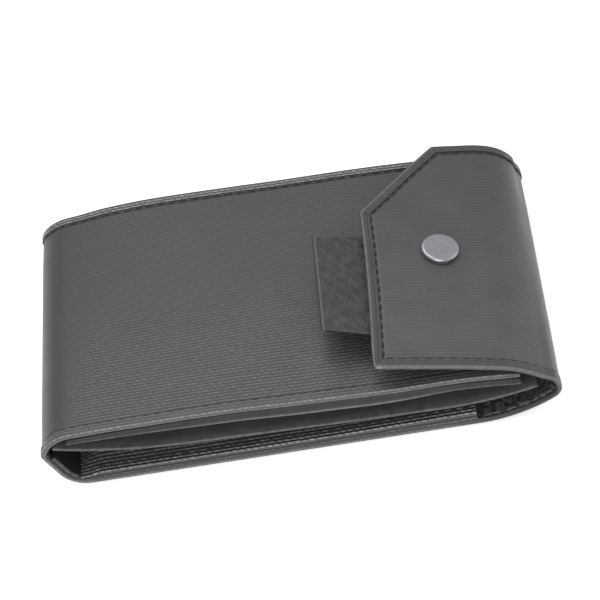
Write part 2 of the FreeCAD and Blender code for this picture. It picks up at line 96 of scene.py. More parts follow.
def positions(mesh):
    """The points of a mesh, a row each, in metres."""
    points = np.empty(len(mesh.vertices) * 3)
    mesh.vertices.foreach_get("co", points)
    return points.reshape(-1, 3)


def walked(points):
    """How far along a chain of points each of them is."""
    return np.concatenate([[0], np.cumsum(np.hypot(*np.diff(points, axis=0).T))])


def joined(*parts):
    """Points from arrays of their coordinates, which may broadcast."""
    return np.stack(np.broadcast_arrays(*parts), -1)


def end_outline(node):
    """The closed outline (x, z) of a CAD node at its near end."""
    mesh = bmesh.new()
    mesh.from_mesh(frame["nodes"][node].data)
    bmesh.ops.remove_doubles(mesh, verts=mesh.verts, dist=0.002 * MM)
    near = min(vert.co.y for vert in mesh.verts) + 0.01 * MM
    links = {}
    for edge in mesh.edges:
        caps = [face for face in edge.link_faces if all(v.co.y <= near for v in face.verts)]
        if len(caps) == 1:
            first, second = edge.verts
            links.setdefault(first, []).append(second)
            links.setdefault(second, []).append(first)
    loop = [next(iter(links))]
    while len(loop) < len(links):
        loop.append(next(vert for vert in links[loop[-1]] if vert not in loop[-2:]))
    outline = np.array([(vert.co.x, vert.co.z) for vert in loop]) / MM
    mesh.free()
    return outline


def outer_chain(node):
    """The outer long side of a layer's side view, walked clockwise round the wallet."""
    outline = end_outline(node)
    ahead = np.roll(outline, -1, axis=0) - outline
    heading = np.arctan2(ahead[:, 1], ahead[:, 0])
    turn = np.abs((heading - np.roll(heading, 1) + math.pi) % (2 * math.pi) - math.pi)
    corners = np.flatnonzero(turn > SHARP_CORNER)
    chains = []
    for first, last in zip(corners, np.roll(corners, -1)):
        run = first + np.arange((last - first) % len(outline) + 1)
        chains.append(outline[run % len(outline)])
    long_sides = sorted(chains, key=lambda chain: walked(chain)[-1])[-2:]
    outer = max(long_sides, key=lambda chain: np.hypot(*(chain - CENTRE).T).mean())
    steps, arms = np.diff(outer, axis=0), outer[:-1] - CENTRE
    clockwise = (arms[:, 0] * steps[:, 1] - arms[:, 1] * steps[:, 0]).sum() < 0
    return outer if clockwise else outer[::-1]


class Path:
    """A smooth curve in the side view through a chain of points, walked by its length."""

    STEP = 0.25  # spacing of its samples
    STRAIGHT = 4.0  # a stretch this many times longer than the next keeps its direction
    SOFT = 0.8  # spread of the smoothing that takes out the last of the corners

    def __init__(self, *chains):
        points = np.concatenate(chains)
        apart = np.hypot(*np.diff(points, axis=0).T) > 0.02
        points = points[np.concatenate([[True], apart])]
        points = self.curve(points)
        along = walked(points)
        even = np.linspace(0, along[-1], int(along[-1] / self.STEP) + 1)
        points = joined(*(np.interp(even, along, values) for values in points.T))
        self.points = self.soften(points)
        self.along = walked(self.points)
        self.length = self.along[-1]
        heading = np.gradient(self.points, self.along, axis=0)
        heading /= np.hypot(*heading.T)[:, None]
        self.normal = joined(-heading[:, 1], heading[:, 0])

    def curve(self, points):
        """Cubic stretches between the points, level with the straight stretches."""
        steps = np.diff(points, axis=0)
        lengths = np.hypot(*steps.T)
        headings = steps / lengths[:, None]
        before, after = lengths[:-1, None], lengths[1:, None]
        inner = headings[:-1] * after + headings[1:] * before
        inner = np.where(after > self.STRAIGHT * before, headings[1:], inner)
        inner = np.where(before > self.STRAIGHT * after, headings[:-1], inner)
        tangents = np.concatenate([headings[:1], inner, headings[-1:]])
        tangents /= np.hypot(*tangents.T)[:, None]
        pieces = []
        for i, length in enumerate(lengths):
            t = np.linspace(0, 1, max(2, int(length / self.STEP)), endpoint=False)[:, None]
            start, end = points[i], points[i + 1]
            leave, arrive = tangents[i] * length, tangents[i + 1] * length
            pieces.append(
                (2 * t**3 - 3 * t**2 + 1) * start
                + (t**3 - 2 * t**2 + t) * leave
                + (3 * t**2 - 2 * t**3) * end
                + (t**3 - t**2) * arrive
            )
        return np.concatenate([*pieces, points[-1:]])

    def soften(self, points):
        reach = int(3 * self.SOFT / self.STEP)
        weights = np.exp(-0.5 * (np.arange(-reach, reach + 1) * self.STEP / self.SOFT) ** 2)
        weights /= weights.sum()
        before = 2 * points[0] - points[reach:0:-1]
        after = 2 * points[-1] - points[-2 : -reach - 2 : -1]
        padded = np.concatenate([before, points, after])
        return joined(*(np.convolve(values, weights, "valid") for values in padded.T))

    def x_at(self, along):
        return np.interp(along, self.along, self.points[:, 0])

    def spot(self, along, across, lift):
        """Points (x, y, z) for spots on the strip; the three may be arrays that broadcast."""
        x, z = (np.interp(along, self.along, values) for values in self.points.T)
        out_x, out_z = (np.interp(along, self.along, values) for values in self.normal.T)
        return joined(x + lift * out_x, across, z + lift * out_z)

    def nearest(self, x, z):
        """How far along the path the spot nearest to (x, z) is."""
        return self.along[np.argmin(np.hypot(*(self.points - (x, z)).T))]

    def where_x(self, x, start, end):
        """How far along the path it reaches x, looked for between two places."""
        inside = (self.along >= start) & (self.along <= end)
        gap = np.where(inside, np.abs(self.points[:, 0] - x), np.inf)
        return self.along[np.argmin(gap)]


def thickness(node):
    """How thick a layer is, from the area and the perimeter of its end."""
    outline = end_outline(node)
    ahead = np.roll(outline, -1, axis=0)
    area = abs((outline[:, 0] * ahead[:, 1] - outline[:, 1] * ahead[:, 0]).sum()) / 2
    half = np.hypot(*(ahead - outline).T).sum() / 2
    return (half - math.sqrt(half * half - 4 * area)) / 2


JOINTS = {joint["name"]: np.array(joint["pos_m"]) / MM for joint in frame["joints"]}
strip = Path(*(outer_chain(node) for node in ("flap_shell", "back_shell", "cover_shell")))

HALF = box("cover_binding")[1][1]  # half the wallet's width
AIR = 0.05  # between two layers
TAPE = box("back_shell")[0][2] - box("back_binding")[0][2]
TAPE_WIDTH = box("flap_lining")[0][0] - box("flap_binding")[0][0] - AIR
SKIN = box("back_lining")[0][2] - box("back_shell")[0][2] - AIR
FOLD = strip.nearest(*JOINTS["flap_open"][[0, 2]])  # where the flap's joint is on the strip
SPINE = strip.nearest(*JOINTS["cover_open"][[0, 2]])
SPLIT = strip.where_x(50.0, FOLD + 20, SPINE)  # under the wallet, where its two halves meet
FREE_X = box("flap_binding")[0][0]  # where the flap's free edge is
ROW_INSET = TAPE_WIDTH + 0.4  # thread rows, in from the edges


def cut_corner():
    """Where the flap's cut corner leaves the free edge (across) and meets the far edge (x)."""
    spots = positions(frame["nodes"]["flap_binding"].data) / MM
    on_free_edge = spots[:, 0] < FREE_X + 0.05
    on_far_edge = spots[:, 1] > HALF - 0.05
    return spots[on_free_edge, 1].max(), spots[on_far_edge, 0].min()


CUT_ACROSS, CUT_X = cut_corner()
CUT_ALONG = strip.where_x(CUT_X, 0, FOLD)


# --- how the layers lie: the real wallet isn't quite straight ---


def smoothstep(low, high, value):
    t = np.clip((value - low) / (high - low), 0, 1)
    return t * t * (3 - 2 * t)


def hump(distance, width):
    """1 at no distance, falling off softly to either side."""
    return np.exp(-((distance / width) ** 2))


COVER_X = [-79, -72, -60, -46, -20, 0, 25, 36, 49, 60, 72]
COVER_NEAR = [0.3, 0.5, 0.2, -0.4, -1.0, -1.9, -2.2, -1.9, -0.9, -0.6, -0.6]
COVER_FAR = [-0.5, -0.4, 1.0, 1.2, 0.4, 0.1, 0.5, 0.6, 0.6, 0.5, 0.4]
FLAP_X = [FREE_X, 41, 53, 60, 66, 71, 76, 79, 82, 84]
FLAP_NEAR = [-0.3, -0.5, -0.9, -1.3, -1.8, -2.0, -2.1, -1.8, -1.0, -0.2]
FLAP_FAR = [0.0, 0.1, 0.3, 0.5, 0.8, 1.2, 2.0, 1.9, 0.8, 0.0]


def soft_curve(x, places, values):
    """A curve through values at places, with the corners taken off."""
    steps = np.linspace(-4, 4, 9)
    return sum(np.interp(x + step, places, values) for step in steps) / len(steps)


def bowed(x, across, places, near, far):
    """Lift that is near at the near edge, far at the far edge and nothing in the middle."""
    near, far, u = soft_curve(x, places, near), soft_curve(x, places, far), across / HALF
    return (far - near) / 2 * u + (far + near) / 2 * u * u


def cover_sway(x, across):
    """The cover sags along its near edge and stands up a little along its far one."""
    ripple = 0.12 * np.sin(x / 13 + 1) * np.sin(across / 19 + 2) * smoothstep(-80, -60, x)
    return bowed(x, across, COVER_X, COVER_NEAR, COVER_FAR) + ripple


def flap_sway(x, across):
    """The flap is twisted: towards the fold its far side is fuller than its near side."""
    ripple = 0.1 * np.sin(x / 9) * np.sin(across / 14) * smoothstep(82, 70, x)
    return bowed(x, across, FLAP_X, FLAP_NEAR, FLAP_FAR) + ripple


CORNER_ROUND = 2.4  # radius of the flap's rounded near corner
SLIP = 1.45  # how far the free edge has slid where it has slid most
SLIP_MIDDLE = 12.0  # where across the wallet that is
SLIP_SPREAD = 44.4  # this far from there it has slid one mm less


def free_edge_slip(along, across):
    """The flap's free edge isn't quite straight: this much of it has slid towards the fold. At
    the near corner it has slid more, which rounds the corner."""
    bow = (SLIP - ((across - SLIP_MIDDLE) / SLIP_SPREAD) ** 2) * smoothstep(26, 0, along)
    short = np.clip(1 - (across + HALF) / CORNER_ROUND, 0, 1)
    corner = CORNER_ROUND * (1 - np.sqrt(1 - np.minimum(short, 0.98) ** 2))
    return bow + corner * smoothstep(7, 0, along)


def strip_sway(along, across):
    x = strip.x_at(along)
    on_flap = smoothstep(FOLD, FOLD - 4, along)
    on_cover = smoothstep(SPINE + 2, SPINE + 10, along)
    return flap_sway(x, across) * on_flap + cover_sway(x, across) * on_cover


def on_strip(along, across, lift):
    along = along + free_edge_slip(along, across)
    return strip.spot(along, across, lift + strip_sway(along, across))


# --- meshes ---


def new_object(name, data):
    item = bpy.data.objects.new(name, data)
    bpy.context.scene.collection.objects.link(item)
    return item


def mark_points(piece, name, values):
    """Keeps a number per point in the mesh, for a material to read."""
    piece.data.attributes.new(name, "FLOAT", "POINT").data.foreach_set("value", values)


def new_piece(name, points, faces, cloth, material):
    """A mesh object from points in mm. cloth holds a place on the cloth, in mm, per point."""
    mesh = bpy.data.meshes.new(name)
    mesh.from_pydata((points * MM).tolist(), [], faces)
    corners = np.empty(len(mesh.loops), int)
    mesh.loops.foreach_get("vertex_index", corners)
    places = cloth[corners].astype(np.float32).ravel()
    mesh.uv_layers.new(name="cloth").data.foreach_set("uv", places)
    mesh.shade_smooth()
    mesh.materials.append(material)
    return new_object(name, mesh)


def quads(grid):
    """The faces between the rows and columns of a grid of point numbers."""
    corners = [grid[:-1, :-1], grid[1:, :-1], grid[1:, 1:], grid[:-1, 1:]]
    return np.stack(corners, -1).reshape(-1, 4)


def sheet(name, outer, inner, cloth, material):
    """A closed sheet between two grids of points."""
    rows, columns = outer.shape[:2]
    top = np.arange(rows * columns).reshape(rows, columns)
    rim = np.concatenate([top[:-1, 0], top[-1, :-1], top[:0:-1, -1], top[0, :0:-1]])
    rim = np.append(rim, rim[0])
    low = top.size
    faces = [quads(top), low + quads(top)[:, ::-1], quads(np.stack([rim, rim + low], -1))[:, ::-1]]
    points = np.concatenate([outer.reshape(-1, 3), inner.reshape(-1, 3)])
    place = np.concatenate([cloth.reshape(-1, 2)] * 2)
    piece = new_piece(name, points, np.concatenate(faces).tolist(), place, material)
    piece.data.set_sharp_from_angle(angle=math.radians(40))
    return piece


def closed(grid):
    """The grid with its first column again after its last one."""
    return np.concatenate([grid, grid[:, :1]], 1)


def tube(name, tubes, material, sharp=None, marks=None):
    """Closed tubes, capped at both ends, from pairs of a grid of points, with a ring per row,
    and its places on the cloth, with one column more. marks holds numbers per point."""
    points, faces, cloth, count = [], [], [], 0
    for rings, places in tubes:
        rings = closed(rings)
        grid = count + np.arange(rings.shape[0] * rings.shape[1]).reshape(rings.shape[:2])
        faces += [*quads(grid)[:, ::-1].tolist(), grid[0, :-1].tolist(), grid[-1, -2::-1].tolist()]
        points.append(rings.reshape(-1, 3))
        cloth.append(places.reshape(-1, 2))
        count += grid.size
    piece = new_piece(name, np.concatenate(points), faces, np.concatenate(cloth), material)
    for mark, values in (marks or {}).items():
        mark_points(piece, mark, closed(values).ravel())
    mesh = bmesh.new()
    mesh.from_mesh(piece.data)
    bmesh.ops.remove_doubles(mesh, verts=mesh.verts, dist=0.001 * MM)
    bmesh.ops.recalc_face_normals(mesh, faces=mesh.faces)
    mesh.to_mesh(piece.data)
    mesh.free()
    if sharp:
        piece.data.set_sharp_from_angle(angle=math.radians(sharp))
    return piece


def lengths_round(section):
    """How far round its outline each point of a closed section is, and the whole way round."""
    return walked(np.concatenate([section, section[:1]]))


def spread(low, high, coarse, fine=None, border=0.0):
    """Places from low to high, coarse steps apart, and fine ones within a border of both ends."""
    if not fine:
        return np.linspace(low, high, max(2, int(abs(high - low) / coarse) + 1))
    ends = np.linspace(0, border, int(border / fine) + 1)
    count = max(2, int((high - low - 2 * border) / coarse) + 1)
    middle = np.linspace(low + border, high - border, count)
    return np.concatenate([low + ends[:-1], middle, high - ends[-2::-1]])


def soft_edge(distance, radius):
    """Share of a layer's half thickness that is left at a distance from its rounded edge."""
    t = np.clip(1 - distance / radius, 0, 1)
    return np.sqrt(np.clip(1 - t * t, 0.02, 1))


# The marked rim is where a lining gets a painted highlight along its lower edge.
RIM_INSET = 0.7  # the marked rim, in from the edge
RIM_WIDTH = 0.35


def soft_sheet(name, along, across, spot, middle, thick, radius, material):
    """A sheet with soft edges all round, its middle at a lift given per point. The points just
    inside its lower rim are marked, for a painted highlight."""
    along, across = along[:, None], across[None, :]
    distance = np.minimum(
        np.minimum(along - along[0], along[-1] - along),
        np.minimum(across - across[:, :1], across[:, -1:] - across),
    )
    half = thick / 2 * soft_edge(distance, radius)
    outer = spot(along, across, middle + half)
    inner = spot(along, across, middle - half)
    piece = sheet(name, outer, inner, joined(along, across), material)
    rim = hump(distance.ravel() - RIM_INSET, RIM_WIDTH)
    mark_points(piece, "rim", np.concatenate([np.zeros(len(rim)), rim]))
    return piece


def layer(name, node, material, steps, shape=None, radius=None, roll=None, wider=0.0):
    """A sheet that fills a bent CAD layer's space. shape(x, across) lifts it, and
    roll(x, across) makes it thicker on its inner side."""
    path = Path(outer_chain(node))
    thick = thickness(node)
    low, high = box(node)
    radius = radius or thick / 2
    along = spread(0, path.length, steps, radius / 3, radius)
    across = spread(low[1] - wider, high[1] + wider, steps, radius / 3, 2 * radius)
    x = path.x_at(along)[:, None]
    lift = shape(x, across) if shape else np.zeros((len(along), len(across)))
    if roll:
        thick = thick + roll(x, across)
    return soft_sheet(name, along, across, path.spot, lift - thick / 2, thick, radius, material)


def flat_layer(name, node, material, steps, shape=None, longer=0.0):
    """A sheet that fills a flat CAD layer's space, or runs on past its low end.
    shape(x, across) lifts it."""
    low, high = box(node)
    low[0] -= longer
    thick = high[2] - low[2]
    radius = min(thick / 2, 0.6)
    xs = spread(low[0], high[0], steps, radius / 3, radius)
    ys = spread(low[1], high[1], steps, radius / 3, radius)
    lift = shape(xs[:, None], ys) if shape else np.zeros((len(xs), len(ys)))
    middle = (low[2] + high[2]) / 2 + lift
    return soft_sheet(name, xs, ys, joined, middle, thick, radius, material)


def hem_groove(distance):
    """Depth of the channel that a thread row pulls into the fabric beside the binding."""
    return 0.32 * hump(distance - ROW_INSET, 0.5)


def half_strip(name, start, end, material, edge_distance, spacing, first=None):
    """Half of the outer strip. spacing lists where its rows lie, as shares of its length.
    first(across) moves its starting edge for the cut corner."""
    across = spread(-HALF + TAPE, HALF - TAPE, 1.3, 0.42, 7.0)
    if first:
        across = np.sort(np.append(across, CUT_ACROSS))
    begin = start + (first(across) if first else np.zeros(len(across)))
    along = begin + spacing[:, None] * (end - begin)
    across = np.broadcast_to(across, along.shape)
    distance = edge_distance(along, across)
    dent = -hem_groove(distance) + 0.1 * smoothstep(6, 16, distance)
    outer = on_strip(along, across, dent)
    inner = on_strip(along, across, -SKIN - 0.3 * hem_groove(distance))
    return sheet(name, outer, inner, joined(along, across), material)


def flap_start(across):
    """Where the flap starts, along the strip, beyond its free edge: more at the cut corner."""
    share = np.clip((across - CUT_ACROSS) / (HALF - CUT_ACROSS), 0, 1)
    return CUT_ALONG * share


CUT_SLANT = math.hypot(CUT_ALONG, HALF - CUT_ACROSS)


def flap_edge_distance(along, across):
    to_cut = (along * (HALF - CUT_ACROSS) - (across - CUT_ACROSS) * CUT_ALONG) / CUT_SLANT
    return np.minimum(np.minimum(along, to_cut), HALF - np.abs(across))


def cover_edge_distance(along, across):
    return np.minimum(strip.length - along, HALF - np.abs(across))


# Corners of the two halves' edges, as (along, across), with the fabric on the right-hand side.
FLAP_EDGE = [(SPLIT, -HALF), (0, -HALF), (0, CUT_ACROSS), (CUT_ALONG, HALF), (SPLIT, HALF)]
COVER_EDGE = [(SPLIT, HALF), (strip.length, HALF), (strip.length, -HALF), (SPLIT, -HALF)]


def edge_runs(corners):
    """Per straight run of an edge: start, heading, inward heading, length, and how much a
    line one mm further in is shorter at either end."""
    corners = np.array(corners, float)
    steps = np.diff(corners, axis=0)
    lengths = np.hypot(*steps.T)
    headings = steps / lengths[:, None]
    inwards = joined(headings[:, 1], -headings[:, 0])
    bends = np.arccos(np.clip((headings[:-1] * headings[1:]).sum(1), -1, 1))
    trims = [0.0, *np.tan(bends / 2), 0.0]
    return zip(corners, headings, inwards, lengths, trims, trims[1:])


HEM_EASE = 0.12  # how far in from its edge the tape's hem is rounded
HEM_DROP = 0.25  # and how far down


def fold_profile():
    """The folded tape's section as (inset, lift): over the fabric, round its edge and back,
    then along its inner side."""
    top, low = TAPE, -SKIN - TAPE
    middle, radius = (top + low) / 2, (top - low) / 2
    flat = np.linspace(TAPE_WIDTH - 5 * HEM_EASE, radius, 6)[:-1]
    section = [(TAPE_WIDTH, top - HEM_DROP), (TAPE_WIDTH - HEM_EASE, top)]
    section += [(inset, top) for inset in flat]
    for turn in np.linspace(0, math.pi, 9):
        section.append((radius - radius * math.sin(turn), middle + radius * math.cos(turn)))
    section += [(inset, low) for inset in flat[::-1]]
    section += [(TAPE_WIDTH - HEM_EASE, low), (TAPE_WIDTH, low + HEM_DROP)]
    inside = [TAPE_WIDTH, TAPE_WIDTH / 2, radius * 0.55]
    section += [(inset, -SKIN) for inset in inside[::-1]]
    section += [(inset, 0.0) for inset in inside]
    return np.array(section)


# How the binding looks along one straight run of an edge: how much the strokes of its weave show
# on the flat and on the fold, how much painted highlight the fold gets, how much painted shade
# the gap below the fold gets, how dull the tape is, and whether its weave runs across it.
Look = namedtuple("Look", "flat fold worn gap dull turned", defaults=(0.0, 0.0, False))
FOLD_WIDTH = 0.6  # of the tape's fold, in from the edge


def binding_marks(section, along, to_mitre, look):
    """Per point of one run of binding: how much painted highlight it gets, how much its strokes
    show, and how much painted shade and duller tone darken it.
    """
    upper = section[:, 1] > -SKIN / 2
    # painted highlight on the upper half of the fold, strongest at the mitres
    on_fold = hump(section[:, 0], FOLD_WIDTH) * upper
    # painted shade in the gap below the fold
    gap = hump(section[:, 1] + SKIN / 2 + 0.1, 0.22) * (section[:, 0] < FOLD_WIDTH)
    # painted shade inside the wallet's fold, and at the cover's end, in the flap's shadow
    in_fold = smoothstep(FOLD - 2, FOLD + 7, along) * smoothstep(SPLIT, SPLIT - 12, along)
    under_flap = smoothstep(strip.length - 9, strip.length, along)
    worn = on_fold * np.maximum(look.worn, hump(to_mitre, 1.6))
    shown = look.flat + (look.fold - look.flat) * on_fold
    # the darkening: painted shade, and a duller tone on dull runs
    dark = np.maximum(0.6 * (in_fold + under_flap), 0.85 * gap * look.gap)
    dark = np.maximum(dark, 0.36 * (1 - on_fold) * look.dull)
    return {"worn": worn, "shown": np.broadcast_to(shown, along.shape), "darkened": dark}


NO_MITRE = 99.0  # stands for the distance to a mitre at an end that has none


def binding(name, corners, material, looks):
    """Binding tape folded over an edge, mitred at the edge's corners, with a look per run."""
    section = fold_profile()
    inset, lift = section.T
    girth = lengths_round(section)
    travelled = 0.0
    rings, cloth, marks = [], [], []
    for look, (start, heading, inward, length, trim_a, trim_b) in zip(looks, edge_runs(corners)):
        share = spread(0, 1, 0.7 / length)[:, None]
        run = trim_a * inset + share * (length - (trim_a + trim_b) * inset)
        spots = start + run[..., None] * heading + inset[:, None] * inward
        to_start, to_end = share * length, (1 - share) * length
        to_mitre = np.minimum(to_start if trim_a else NO_MITRE, to_end if trim_b else NO_MITRE)
        crease = 0.12 * hump(to_mitre, 0.8) * np.sign(lift + SKIN / 2)
        pucker = 0.05 * np.sin((travelled + run) * 2 * math.pi / STITCH_PITCH)
        pucker = pucker * ((inset > TAPE_WIDTH / 2) & (lift > 0))
        rings.append(on_strip(spots[..., 0], spots[..., 1], lift - crease + pucker))
        places = joined(travelled + closed(run), girth)
        cloth.append(places[..., ::-1] if look.turned else places)
        marks.append(binding_marks(section, spots[..., 0], to_mitre, look))
        travelled += length
    marks = {mark: np.concatenate([run[mark] for run in marks]) for mark in marks[0]}
    return tube(name, [(np.concatenate(rings), np.concatenate(cloth))], material, 60, marks)


STITCH_PITCH = 3.9
STITCH_LENGTH = 3.0
STITCH_WIDTH = 0.6


def stitch():
    """One stitch, a bent spindle, as a grid of points (along, across, up) about its middle."""
    t = np.linspace(-1, 1, 7)[:, None]
    turn = 2 * math.pi * np.arange(8) / 8
    size = STITCH_WIDTH / 2 * np.sqrt(np.maximum(1 - t**4, 0.02))
    sag = -0.3 * t * t
    return joined(t * STITCH_LENGTH / 2, size * np.cos(turn), sag + size * np.sin(turn))


def thread_row(name, corners, inset, lift, place=on_strip):
    """Stitches beside an edge, all on one side of the fabric."""
    along, across, up = np.moveaxis(stitch(), -1, 0)
    stitches = []
    for start, heading, inward, length, trim_a, trim_b in edge_runs(corners):
        room = length - (trim_a + trim_b) * inset
        count = max(1, int(room / STITCH_PITCH))
        for number in range(count):
            middle = (number + 0.5) * room / count + random.uniform(-0.12, 0.12)
            aside = inset + random.uniform(-0.06, 0.06)
            run = trim_a * inset + middle + along * random.uniform(0.9, 1.06)
            spots = start + run[..., None] * heading + (aside + across)[..., None] * inward
            points = place(spots[..., 0], spots[..., 1], lift + up)
            stitches.append((points, closed(joined(run, across + up))))
    return tube(name, stitches, black_thread)


# --- materials ---


class Shader:
    """Builds one node material. Numbers and node outputs can both be given as inputs."""

    def __init__(self, name):
        self.material = bpy.data.materials.new(name)
        self.material.use_nodes = True
        self.tree = self.material.node_tree
        self.surface = self.tree.nodes["Principled BSDF"]
        self.place = self.add("UVMap", {}, uv_map="cloth")  # on the cloth, in mm
        self.along = self.add("SeparateXYZ", {"Vector": self.place})
        self.across = self.add("SeparateXYZ", {"Vector": self.place}, output=1)

    def feed(self, socket, value):
        if isinstance(value, bpy.types.NodeSocket):
            self.tree.links.new(value, socket)
        else:
            socket.default_value = value

    def add(self, kind, inputs, output=0, **settings):
        node = self.tree.nodes.new("ShaderNode" + kind)
        for key, value in settings.items():
            setattr(node, key, value)
        for socket, value in inputs.items():
            self.feed(node.inputs[socket], value)
        return node.outputs[output]

    def math(self, operation, *values):
        return self.add("Math", dict(enumerate(values)), operation=operation)

    def times(self, *values):
        return self.math("MULTIPLY", *values)

    def noise(self, size, detail=3.0, roughness=0.55):
        """Noise from 0 to 1 with lumps of about size mm."""
        settings = {"Scale": 1 / size, "Detail": detail, "Roughness": roughness}
        return self.add("TexNoise", {"Vector": self.place, **settings})

    def mark(self, name):
        """A number that the mesh holds at its points."""
        return self.add("Attribute", {}, output=2, attribute_name=name)

    def ramp(self, value, low, high, start=0.0, end=1.0):
        ends = {0: value, 1: low, 2: high, 3: start, 4: end}
        return self.add("MapRange", ends, interpolation_type="SMOOTHSTEP")

    def vary(self, noise, low, high):
        """From low to high with a noise."""
        return self.ramp(noise, 0.3, 0.7, low, high)

    def mix(self, share, first, second):
        colours = {0: share, 6: (*first, 1) if isinstance(first, tuple) else first}
        colours[7] = (*second, 1) if isinstance(second, tuple) else second
        return self.add("Mix", colours, output=2, data_type="RGBA")

    def scale_colour(self, colour, share):
        grey = self.add("CombineColor", {0: share, 1: share, 2: share})
        parts = {0: 1.0, 6: colour, 7: grey}
        return self.add("Mix", parts, output=2, data_type="RGBA", blend_type="MULTIPLY")

    def bump(self, height, depth, strength=1.0, after=None):
        """Relief of depth mm."""
        inputs = {"Height": height, "Distance": depth * MM, "Strength": strength}
        if after is not None:
            inputs["Normal"] = after
        return self.add("Bump", inputs)

    def finish(self, colour, roughness, normal=None, **more):
        inputs = {"Base Color": colour, "Roughness": roughness, **more}
        if normal is not None:
            inputs["Normal"] = normal
        for socket, value in inputs.items():
            self.feed(self.surface.inputs[socket.replace("_", " ")], value)
        return self.material


ROW_PITCH = 1.27  # rows of the tarpaulin's weave, across the wallet
ROW_START = 0.5  # the middle of a row, which puts one just inside the binding's edge
DASH_PITCH = 2.3  # raised dashes in one row


def ribbed_weave(shade):
    """Height and light strokes of painted highlight, 0 to 1, of rows of long flat dashes, each
    row shifted by half a dash."""
    row = shade.math("DIVIDE", shade.math("SUBTRACT", shade.across, ROW_START), ROW_PITCH)
    number = shade.math("FLOOR", shade.math("ADD", row, 0.5))
    in_row = shade.math("SUBTRACT", row, number)
    dash = shade.math("ADD", shade.math("DIVIDE", shade.along, DASH_PITCH), shade.times(row, 0.5))
    in_dash = shade.math("ABSOLUTE", shade.math("SUBTRACT", shade.math("FRACT", dash), 0.5))
    off_centre = shade.math("ABSOLUTE", in_row)
    rib = shade.ramp(off_centre, 0.5, 0.12)
    body = shade.ramp(in_dash, 0.5, 0.3, 0.55, 1.0)
    # painted highlight: a thin light stroke along the top of each dash
    highlight_stroke = shade.times(shade.ramp(off_centre, 0.3, 0.08), shade.ramp(in_dash, 0.48, 0.36))
    return shade.times(rib, body), highlight_stroke


def tarpaulin(
    name, dark, light, relief, contrast=1.0, fade=None, rolled=None, painted_light_slope=None, marked=False
):
    """Coated tarpaulin: satin ribs with painted highlights, light strokes along their tops. fade
    gives the places across the wallet where the strokes are plain and where they are faint, and
    the share that is left there. rolled gives the places along the strip where a smooth roll ends.
    painted_light_slope gives painted light and shade: how light the fabric is painted at its near
    and far edges. A marked one takes from its mesh how much the strokes show, how much painted
    highlight its fold gets and how much painted shade and duller tone darken it."""
    shade = Shader(name)
    rib, highlight_stroke = ribbed_weave(shade)
    uneven = shade.noise(14.0)
    grain = shade.noise(0.35, 2.0)
    catch = shade.noise(1.7, 2.0)
    shown = shade.ramp(catch, 0.32, 0.66, 0.3 * contrast, contrast)
    plain = 1.0
    if fade:
        low, high, left = fade
        plain = shade.ramp(shade.across, low, high, 1.0, left)
    if rolled:
        plain = shade.times(plain, shade.ramp(shade.along, *rolled, 0.15, 1.0))
    shown = shade.times(shown, plain)
    if marked:
        shown = shade.times(shown, shade.mark("shown"))
    # painted highlight: the strokes, and a little the rib tops, are made lighter
    share = shade.math("ADD", shade.times(highlight_stroke, shown), shade.times(rib, 0.12))
    colour = shade.mix(share, dark, light)
    colour = shade.scale_colour(colour, shade.vary(uneven, 0.92, 1.06))
    colour = shade.scale_colour(colour, shade.vary(grain, 0.93, 1.06))
    # painted light and shade: the fabric is made lighter or darker from its near edge to its far
    # edge
    if painted_light_slope:
        colour = shade.scale_colour(colour, shade.ramp(shade.across, -HALF, HALF, *painted_light_slope))
    if marked:
        # painted highlight on the binding's fold
        highlight_share = shade.times(shade.mark("worn"), shade.ramp(catch, 0.25, 0.6, 0.4, 0.9))
        colour = shade.mix(highlight_share, colour, (0.25, 0.25, 0.255))
        # painted shade, and the duller tone of dull runs, darken the binding
        colour = shade.scale_colour(colour, shade.ramp(shade.mark("darkened"), 0, 1, 1.0, 0.12))
    fine, broad = shade.vary(grain, 0.4, 0.5), shade.vary(uneven, -0.03, 0.05)
    rough = shade.math("ADD", fine, broad)
    normal = shade.bump(grain, 0.02, 0.6)
    raised = shade.times(plain, shade.ramp(uneven, 0.35, 0.62, 0.35, 1.0))
    normal = shade.bump(rib, relief, raised, normal)
    return shade.finish(colour, rough, normal)


def lining(name, colour_low, colour_high, thread_pitch, relief, roughness, edge=None, rim=False):
    """Fine plain-woven or smooth coated lining. edge is half the width of a piece whose long
    edges get painted light, and the width of the lit part. rim paints a highlight on the marked
    lower rim."""
    shade = Shader(name)
    turns = [shade.times(axis, 2 * math.pi / thread_pitch) for axis in (shade.along, shade.across)]
    ups = [shade.math("SINE", turn) for turn in turns]
    weave = shade.ramp(shade.times(*ups), -1.0, 1.0)
    uneven = shade.noise(7.0)
    colour = shade.mix(shade.vary(uneven, 0.0, 1.0), colour_low, colour_high)
    colour = shade.scale_colour(colour, shade.ramp(weave, 0.0, 1.0, 0.85, 1.08))
    if edge:
        half_width, light_width = edge
        from_edge = shade.math("SUBTRACT", half_width, shade.math("ABSOLUTE", shade.across))
        # painted light along the long edges
        worn = shade.ramp(from_edge, light_width, 0.2, 0.0, 0.4)
        worn = shade.times(worn, shade.ramp(shade.noise(2.5), 0.25, 0.6))
        colour = shade.mix(worn, colour, (0.17, 0.17, 0.18))
    if rim:
        uneven_rim = shade.ramp(shade.noise(3.0), 0.2, 0.6, 0.5, 1.0)
        # painted highlight along the marked lower rim
        worn = shade.times(shade.mark("rim"), uneven_rim)
        colour = shade.mix(worn, colour, (0.26, 0.26, 0.27))
    rough = shade.vary(shade.noise(1.2), roughness - 0.05, roughness + 0.07)
    normal = shade.bump(weave, relief)
    return shade.finish(colour, rough, normal, Specular_IOR_Level=0.25)


